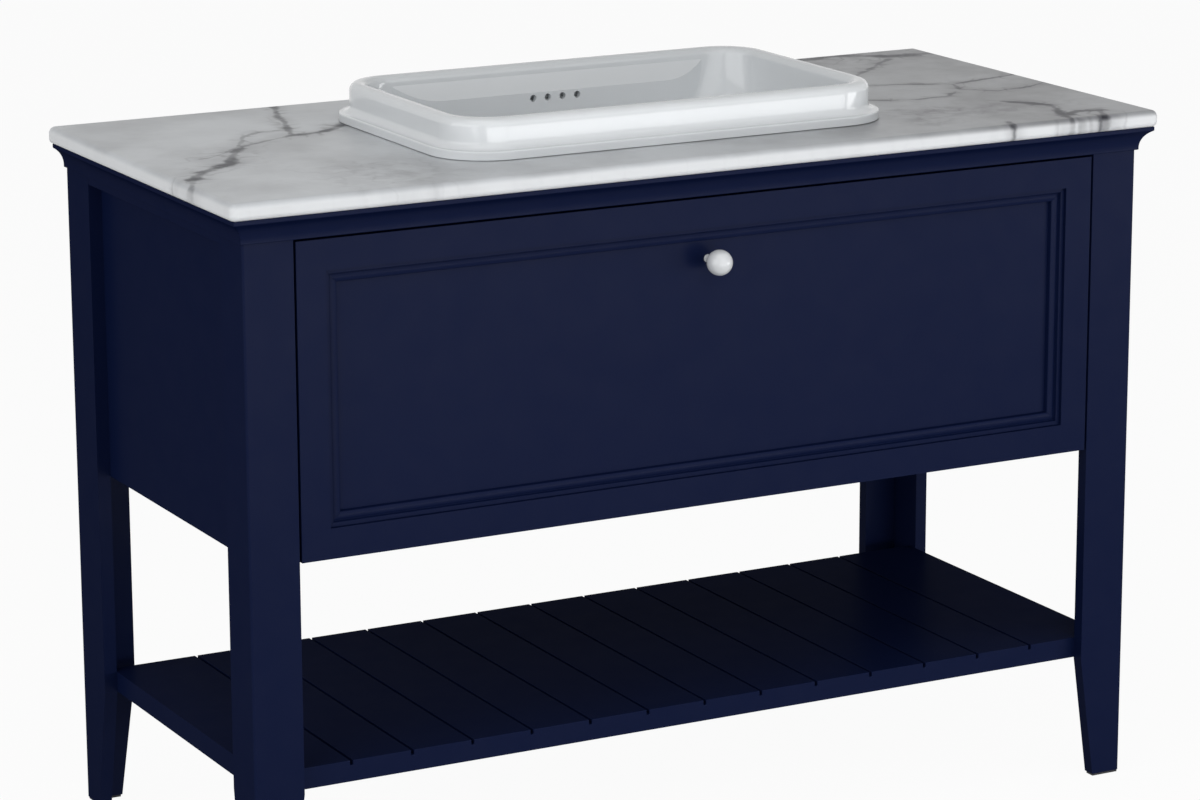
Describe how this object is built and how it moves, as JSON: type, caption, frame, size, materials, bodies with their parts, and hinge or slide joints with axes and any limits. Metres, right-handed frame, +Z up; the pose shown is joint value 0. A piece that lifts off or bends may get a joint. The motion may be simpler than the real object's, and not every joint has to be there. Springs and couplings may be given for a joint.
{
  "type": "vanity unit",
  "caption": "Washstand vanity on angle legs with a slatted shelf, one wide panelled drawer on ball runners, a marble slab and an inset ceramic basin.",
  "frame": {"origin": "on the floor, at the middle of the unit's box, which runs from the knob's tip to the slab's back", "axes": "+X to the right along the front, +Y to the back (wall side), +Z up"},
  "size_m": [1.2, 0.55, 0.878],
  "materials": {
    "navy_lacquer": "satin navy lacquer",
    "marble": "polished, grey veined",
    "basin_glaze": "gloss white",
    "knob_glaze": "gloss white",
    "sealant": "white sealant bead",
    "chrome": "polished",
    "brass": "cast and turned",
    "rubber": "matt black",
    "glide_plastic": "black glide",
    "drawer_birch": "clear lacquered birch",
    "runner_steel": "zinc plated",
    "ball_steel": "bright steel",
    "screw_steel": "zinc plated"
  },
  "bodies": {
    "carcass": {"leg_front_left": "navy_lacquer", "leg_front_right": "navy_lacquer", "leg_rear_left": "navy_lacquer", "leg_rear_right": "navy_lacquer", "side_panel_left": "navy_lacquer", "side_panel_right": "navy_lacquer", "side_rail_left": "navy_lacquer", "side_rail_right": "navy_lacquer", "foot_glides": "glide_plastic", "front_top_rail": "navy_lacquer", "rear_top_rail": "navy_lacquer", "rear_bottom_rail": "navy_lacquer", "carcass_floor": "navy_lacquer", "shelf_panel": "navy_lacquer", "cornice_front": "navy_lacquer", "cornice_left": "navy_lacquer", "cornice_right": "navy_lacquer", "slab": "marble", "basin": "basin_glaze", "basin_seal": "sealant", "waste_body": "chrome", "waste_seal": "rubber", "waste_gasket": "rubber", "waste_nut": "brass", "runner_packer_left": "navy_lacquer", "runner_packer_right": "navy_lacquer", "runner_outer_left": "runner_steel", "runner_outer_right": "runner_steel"},
    "drawer": {"front_stile_left": "navy_lacquer", "front_stile_right": "navy_lacquer", "front_rail_top": "navy_lacquer", "front_rail_bottom": "navy_lacquer", "front_panel": "navy_lacquer", "moulding_top": "navy_lacquer", "moulding_bottom": "navy_lacquer", "moulding_left": "navy_lacquer", "moulding_right": "navy_lacquer", "knob": "knob_glaze", "knob_bolt": "screw_steel", "drawer_subfront": "drawer_birch", "front_screws": "screw_steel", "drawer_side_left": "drawer_birch", "drawer_side_right": "drawer_birch", "drawer_back_left": "drawer_birch", "drawer_back_right": "drawer_birch", "trap_recess_left": "drawer_birch", "trap_recess_right": "drawer_birch", "drawer_bottom": "drawer_birch", "trap_recess_front": "drawer_birch", "runner_inner_left": "runner_steel", "runner_inner_right": "runner_steel"},
    "runner_middles": {"runner_middle_left": "runner_steel", "runner_middle_right": "runner_steel"},
    "outer_cages": {"ball_cage_outer_left": "ball_steel", "ball_cage_outer_right": "ball_steel"},
    "inner_cages": {"ball_cage_inner_left": "ball_steel", "ball_cage_inner_right": "ball_steel"},
    "plug": {"waste_plug": "chrome"}
  },
  "joints": [
    {"name": "drawer_slide", "type": "slide", "parent": "carcass", "child": "drawer", "axis": [0, -1, 0], "range_m": [0, 0.42]},
    {"name": "runner_middle_slide", "type": "slide", "parent": "carcass", "child": "runner_middles", "axis": [0, -1, 0], "range_m": [0, 0.21]},
    {"name": "outer_cage_slide", "type": "slide", "parent": "carcass", "child": "outer_cages", "axis": [0, -1, 0], "range_m": [0, 0.105]},
    {"name": "inner_cage_slide", "type": "slide", "parent": "carcass", "child": "inner_cages", "axis": [0, -1, 0], "range_m": [0, 0.315]},
    {"name": "plug_push", "type": "slide", "parent": "carcass", "child": "plug", "axis": [0, 0, -1], "range_m": [0, 0.008]}
  ],
  "couplings": [
    {"joint": "runner_middle_slide", "follows": "drawer_slide", "ratio": 0.5},
    {"joint": "outer_cage_slide", "follows": "drawer_slide", "ratio": 0.25},
    {"joint": "inner_cage_slide", "follows": "drawer_slide", "ratio": 0.75}
  ]
}
